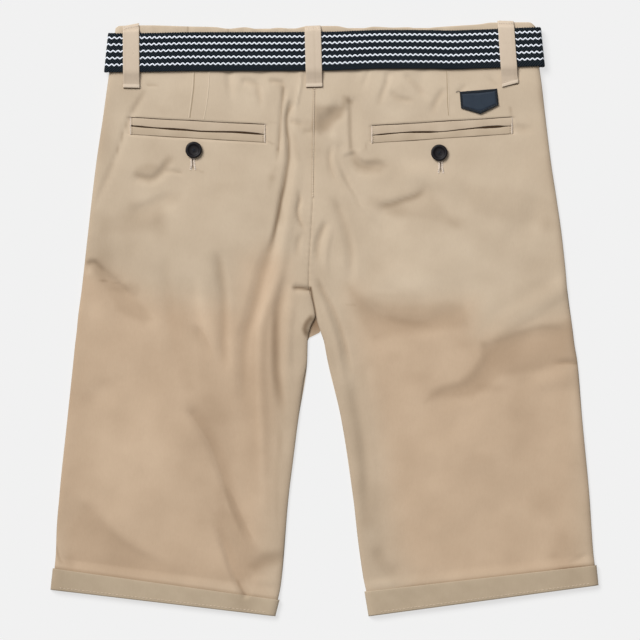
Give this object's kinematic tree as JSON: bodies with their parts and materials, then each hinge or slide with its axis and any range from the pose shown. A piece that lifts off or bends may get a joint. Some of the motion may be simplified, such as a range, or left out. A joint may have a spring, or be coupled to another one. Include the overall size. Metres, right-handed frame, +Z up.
{
  "type": "bermuda shorts",
  "caption": "Knee-length cotton twill shorts laid flat, back up, with a webbing belt in the loops, welt pockets and turned-up hems.",
  "frame": {"origin": "on the surface that the shorts lie on, under the middle of the whole garment", "axes": "+Z up from the surface to the back of the shorts, +Y from the hems to the waist, +X towards the wearer's right"},
  "size_m": [0.493, 0.5342, 0.014],
  "materials": {
    "twill": "matt beige cotton twill",
    "webbing": "dark navy woven webbing with five white zigzag lines",
    "leather": "dark navy imitation leather with a stitched border",
    "button": "near-black, soft gloss",
    "metal": "satin"
  },
  "bodies": {
    "root": {"back_left": "twill", "back_right": "twill", "front_left": "twill", "front_right": "twill", "cuff_back_left": "twill", "cuff_back_right": "twill", "cuff_front_left": "twill", "cuff_front_right": "twill", "waistband_back": "twill", "waistband_front_left": "twill", "waistband_front_right": "twill", "loop_back_left": "twill", "loop_back_centre": "twill", "loop_back_right": "twill", "loop_front_left": "twill", "loop_front_right": "twill", "pocket_left_upper_welt": "twill", "pocket_left_lower_welt": "twill", "pocket_right_upper_welt": "twill", "pocket_right_lower_welt": "twill", "button_left": "button", "button_right": "button", "patch": "leather", "belt": "webbing", "belt_buckle": "metal"}
  },
  "joints": []
}
